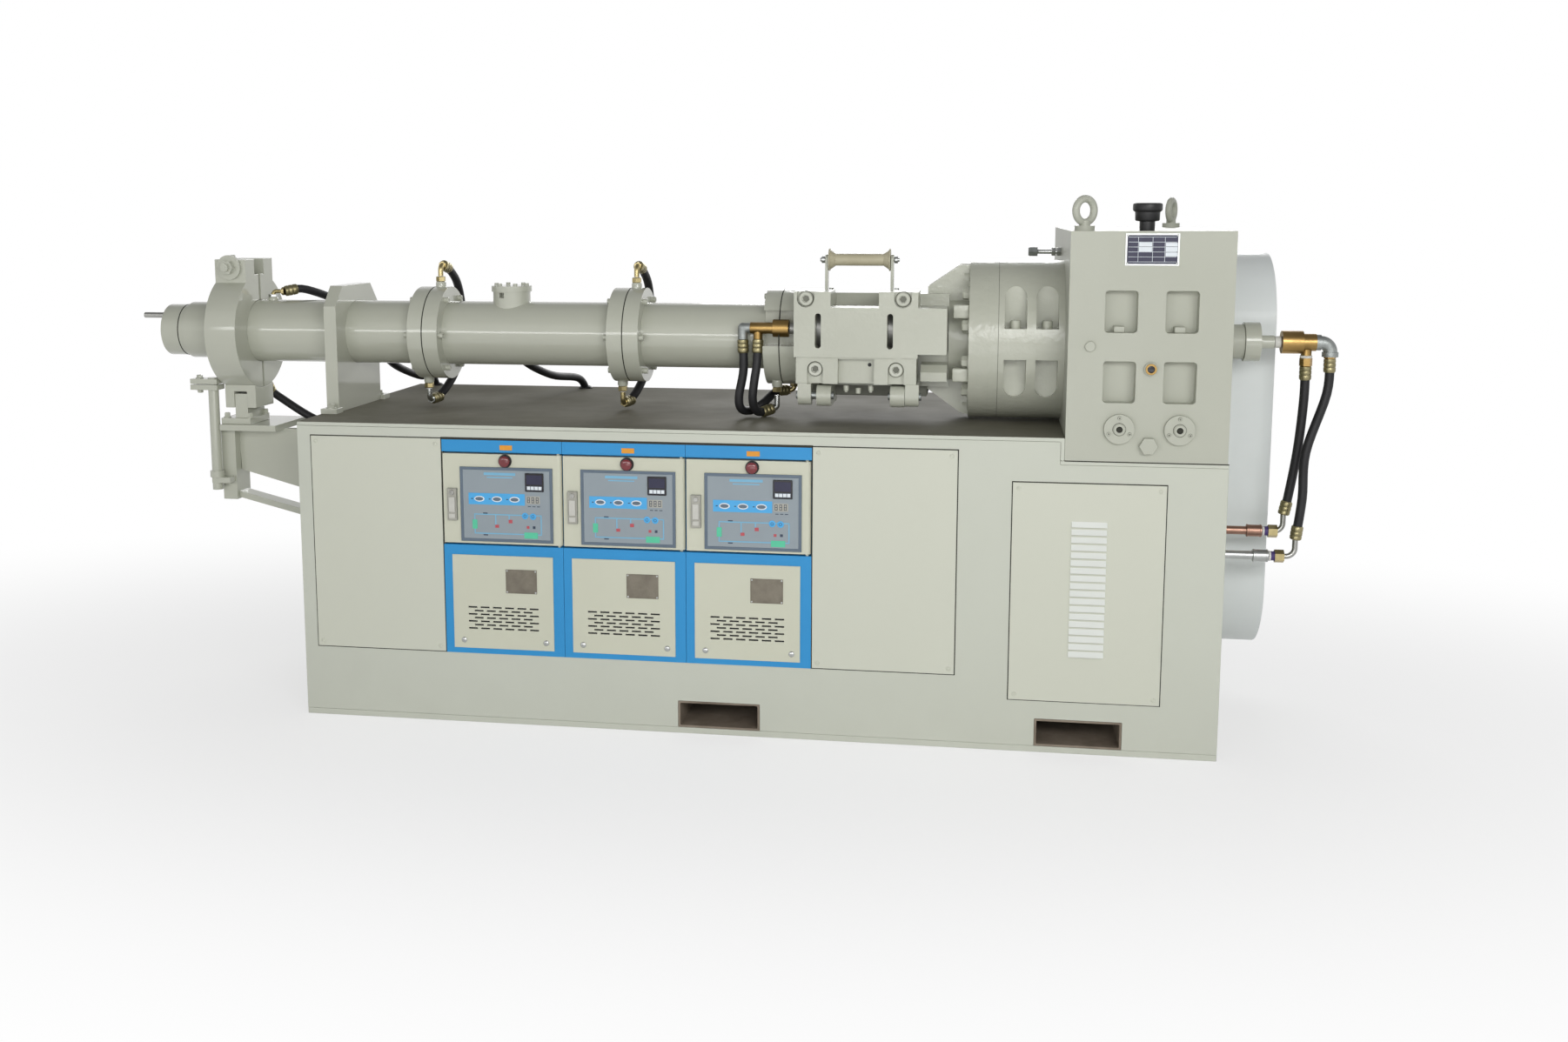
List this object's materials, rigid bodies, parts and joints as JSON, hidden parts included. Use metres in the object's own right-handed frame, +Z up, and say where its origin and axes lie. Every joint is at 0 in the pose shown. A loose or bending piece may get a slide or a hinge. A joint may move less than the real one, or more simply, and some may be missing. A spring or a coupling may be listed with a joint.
{
  "type": "rubber hose extruder",
  "caption": "Rubber extruder on a steel cabinet base: screw barrel with clamped die head, swing-out feed roller, gearbox with bearing drum, and temperature units behind hinged doors.",
  "frame": {"origin": "centre of the base's underside, on the floor", "axes": "+X along the barrel to the drive end, +Y to the rear, +Z up"},
  "size_m": [3.2645, 0.921, 1.3699],
  "materials": {
    "base_paint": "semi-gloss cream grey paint",
    "deck_paint": "glossy grey green paint, darkened by dust",
    "panel_paint": "semi-gloss cream paint",
    "pocket_steel": "primed steel with light rust",
    "unit_blue": "powder coat",
    "unit_cream": "powder coat",
    "barrel_paint": "glossy brush-applied grey green paint",
    "bright_steel": "machined",
    "worn_steel": "polished by use",
    "brass_fitting": "machined, slightly tarnished",
    "nylon": "turned nylon",
    "black_plastic": "moulded",
    "guard_paint": "semi-gloss pale grey paint",
    "pipe_metal": "copper and zinc plated pipe",
    "hose_rubber": "matt black hose"
  },
  "bodies": {
    "frame": {"base_floor": "base_paint", "base_front_wall": "base_paint", "base_rear_wall": "base_paint", "base_end_walls": "base_paint", "deck_plate": "deck_paint", "gearbox_seat": "base_paint", "fork_pockets": "pocket_steel", "front_cover_panels": "panel_paint", "rear_cover_panels": "panel_paint", "louvre_panel": "panel_paint", "unit_cabinets": "unit_blue", "unit_lower_panels": "unit_cream", "barrel_front": "barrel_paint", "barrel_middle": "barrel_paint", "barrel_rear": "barrel_paint", "vent_plug": "barrel_paint", "barrel_support": "barrel_paint", "die_nose": "barrel_paint", "core_rod": "bright_steel", "clamp_front_half": "barrel_paint", "clamp_rear_half": "barrel_paint", "clamp_bolt": "bright_steel", "head_foot": "barrel_paint", "head_bracket": "barrel_paint", "swing_post": "barrel_paint", "feed_box": "barrel_paint", "feed_hinge_pins": "bright_steel", "guide_bracket": "barrel_paint", "bearing_drum": "barrel_paint", "gearbox": "base_paint", "eye_bolts": "base_paint", "breather_cap": "black_plastic", "gearbox_plugs": "bright_steel", "belt_guard": "guard_paint", "screw_union": "brass_fitting", "cooling_pipes": "pipe_metal", "water_fittings": "brass_fitting", "hose_screw_a": "hose_rubber", "hose_screw_b": "hose_rubber", "hose_feed_a": "hose_rubber", "hose_feed_b": "hose_rubber", "hose_loop_1": "hose_rubber", "hose_loop_2": "hose_rubber", "hose_head_top": "hose_rubber", "hose_head_bottom": "hose_rubber", "hose_zone": "hose_rubber"},
    "feed_housing_body": {"feed_housing": "barrel_paint", "feed_union": "brass_fitting"},
    "feed_roller_body": {"feed_roller": "worn_steel"},
    "guide_roller_body": {"guide_roller": "nylon"},
    "screw_body": {"feed_screw": "worn_steel", "drive_shaft": "bright_steel"},
    "unit_door_1_body": {"unit_door_1": "unit_cream"},
    "unit_door_2_body": {"unit_door_2": "unit_cream"},
    "unit_door_3_body": {"unit_door_3": "unit_cream"}
  },
  "joints": [
    {"name": "feed_housing_swing", "type": "hinge", "parent": "frame", "child": "feed_housing_body", "pos_m": [0.2735, -0.297, 0.865], "axis": [1, 0, 0], "range_deg": [0, 90]},
    {"name": "feed_roller_spin", "type": "hinge", "parent": "feed_housing_body", "child": "feed_roller_body", "pos_m": [0.2735, -0.21998, 1.03], "axis": [1, 0, 0], "continuous": true},
    {"name": "guide_roller_spin", "type": "hinge", "parent": "frame", "child": "guide_roller_body", "pos_m": [0.271, -0.178, 1.207], "axis": [1, 0, 0], "continuous": true},
    {"name": "screw_spin", "type": "hinge", "parent": "frame", "child": "screw_body", "pos_m": [0.7, -0.11, 1], "axis": [1, 0, 0], "continuous": true},
    {"name": "unit_door_1_hinge", "type": "hinge", "parent": "frame", "child": "unit_door_1_body", "pos_m": [-0.4725, -0.442, 0.599], "axis": [0, 0, 1], "range_deg": [0, 90]},
    {"name": "unit_door_2_hinge", "type": "hinge", "parent": "frame", "child": "unit_door_2_body", "pos_m": [-0.1525, -0.442, 0.599], "axis": [0, 0, 1], "range_deg": [0, 90]},
    {"name": "unit_door_3_hinge", "type": "hinge", "parent": "frame", "child": "unit_door_3_body", "pos_m": [0.1675, -0.442, 0.599], "axis": [0, 0, 1], "range_deg": [0, 90]}
  ]
}
